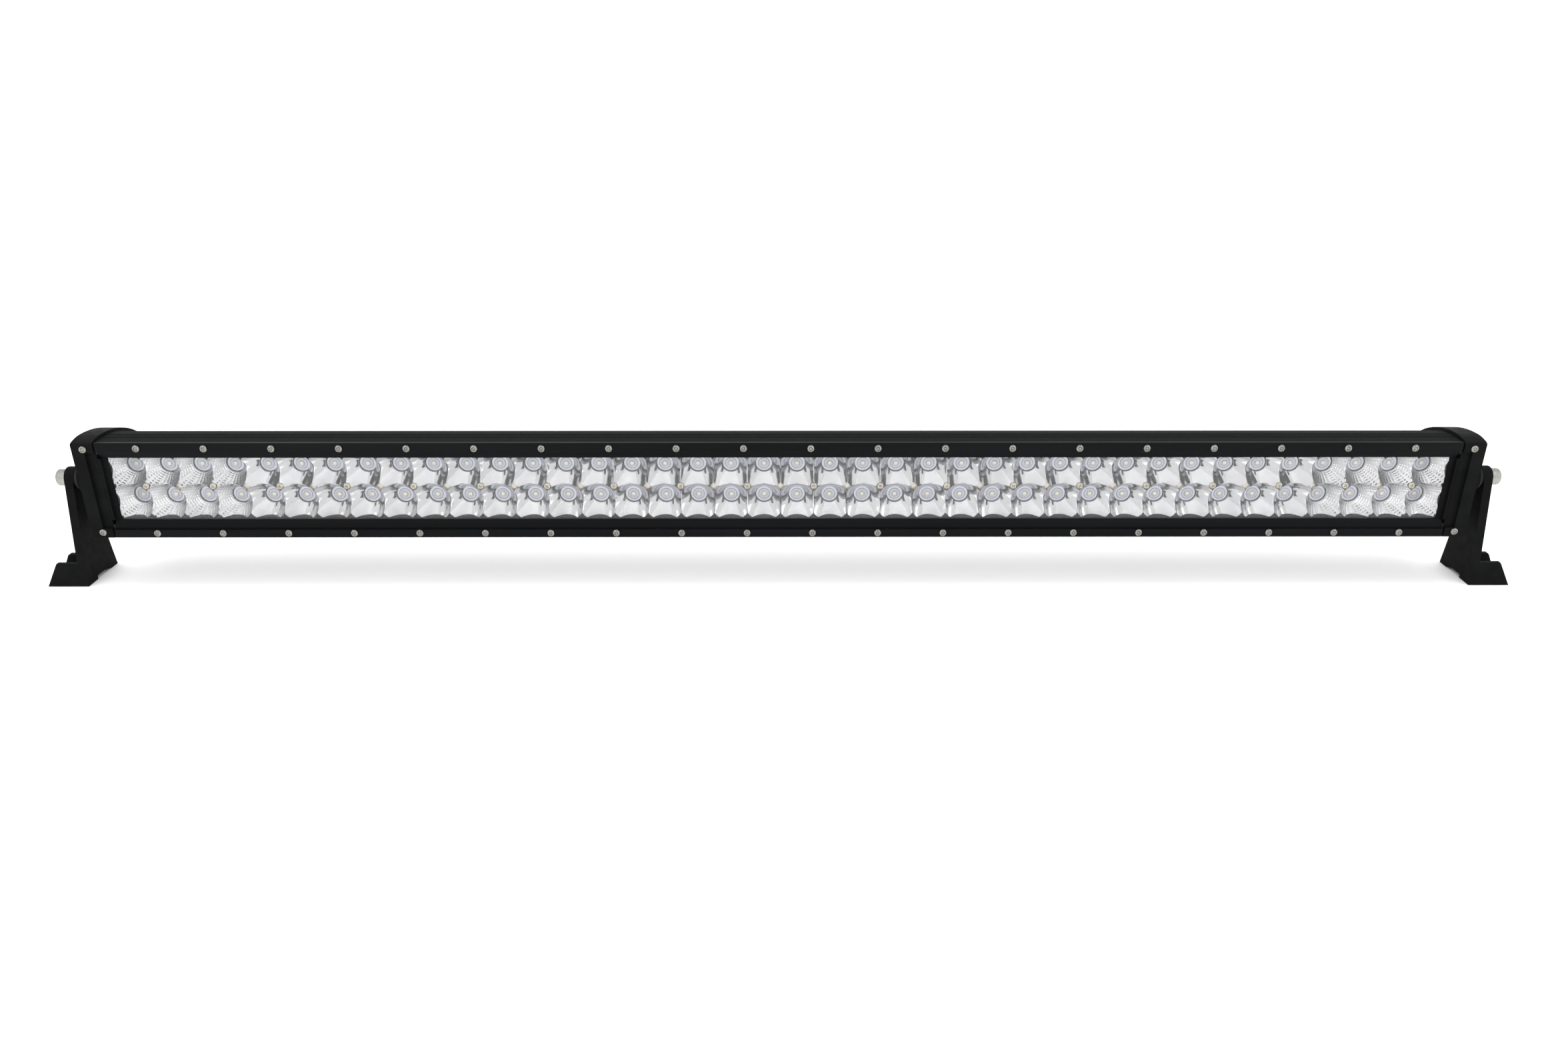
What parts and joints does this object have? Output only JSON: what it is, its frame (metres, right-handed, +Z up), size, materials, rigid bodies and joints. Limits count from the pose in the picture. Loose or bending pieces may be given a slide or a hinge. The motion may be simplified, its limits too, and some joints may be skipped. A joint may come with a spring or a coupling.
{
  "type": "led light bar",
  "caption": "Long straight LED work light bar: mirrored bowls behind a clear lens, screwed black bezels, finned back, end caps and tilting side brackets.",
  "frame": {"origin": "on the mounting surface, at the centre of the four foot slots, midway between the two brackets and under the tilt axis", "axes": "+X along the bar, -Y the way the lamp shines, +Z up away from the mounting surface"},
  "size_m": [1.14, 0.0796, 0.1203],
  "materials": {
    "housing_black": "black powder coat on an aluminium extrusion, satin",
    "bezel_black": "black anodised aluminium strip, satin",
    "cast_black": "black powder coat on die-cast aluminium, fine texture",
    "stainless": "bright stainless steel",
    "zinc": "pale zinc plate, satin",
    "metallised": "vacuum-metallised moulding, mirror bright",
    "lens": "clear polycarbonate, polished",
    "board": "off-white solder mask on a metal-core board",
    "led_body": "pale blue-grey moulded package",
    "led_dome": "clear silicone dome over yellow phosphor",
    "driver": "circuit board sunk in black potting compound",
    "nylon_black": "black nylon moulding",
    "rubber_black": "black silicone rubber"
  },
  "bodies": {
    "left_bracket": {"left_bracket": "cast_black"},
    "lamp": {"housing": "housing_black", "left_end_cap": "cast_black", "right_end_cap": "cast_black", "left_cap_gasket": "rubber_black", "right_cap_gasket": "rubber_black", "top_bezel": "bezel_black", "bottom_bezel": "bezel_black", "top_bezel_screws": "stainless", "bottom_bezel_screws": "stainless", "left_cap_front_screws": "stainless", "right_cap_front_screws": "stainless", "left_cap_side_screws": "stainless", "right_cap_side_screws": "stainless", "lens": "lens", "lens_gasket": "rubber_black", "reflector_01": "metallised", "reflector_02": "metallised", "reflector_03": "metallised", "reflector_04": "metallised", "reflector_05": "metallised", "reflector_06": "metallised", "reflector_07": "metallised", "reflector_08": "metallised", "reflector_09": "metallised", "reflector_10": "metallised", "reflector_11": "metallised", "reflector_12": "metallised", "reflector_13": "metallised", "reflector_14": "metallised", "reflector_15": "metallised", "reflector_16": "metallised", "reflector_17": "metallised", "reflector_18": "metallised", "reflector_19": "metallised", "reflector_20": "metallised", "reflector_screws": "zinc", "left_led_board": "board", "right_led_board": "board", "led_bodies": "led_body", "led_domes": "led_dome", "driver_board": "driver", "gland_body": "nylon_black", "gland_nut": "nylon_black", "gland_seal": "rubber_black", "gland_o_ring": "rubber_black", "breather_vent": "nylon_black", "left_pivot_bolt": "stainless", "right_pivot_bolt": "stainless", "left_friction_washer": "rubber_black", "right_friction_washer": "rubber_black"},
    "right_bracket": {"right_bracket": "cast_black"}
  },
  "joints": [
    {"name": "tilt", "type": "hinge", "parent": "left_bracket", "child": "lamp", "pos_m": [-0.5385, 0, 0.083], "axis": [1, 0, 0], "range_deg": [-90, 90]},
    {"name": "right_tilt", "type": "hinge", "parent": "lamp", "child": "right_bracket", "pos_m": [0.5385, 0, 0.083], "axis": [1, 0, 0], "range_deg": [-90, 90]}
  ],
  "couplings": [
    {"joint": "right_tilt", "follows": "tilt", "ratio": -1}
  ]
}
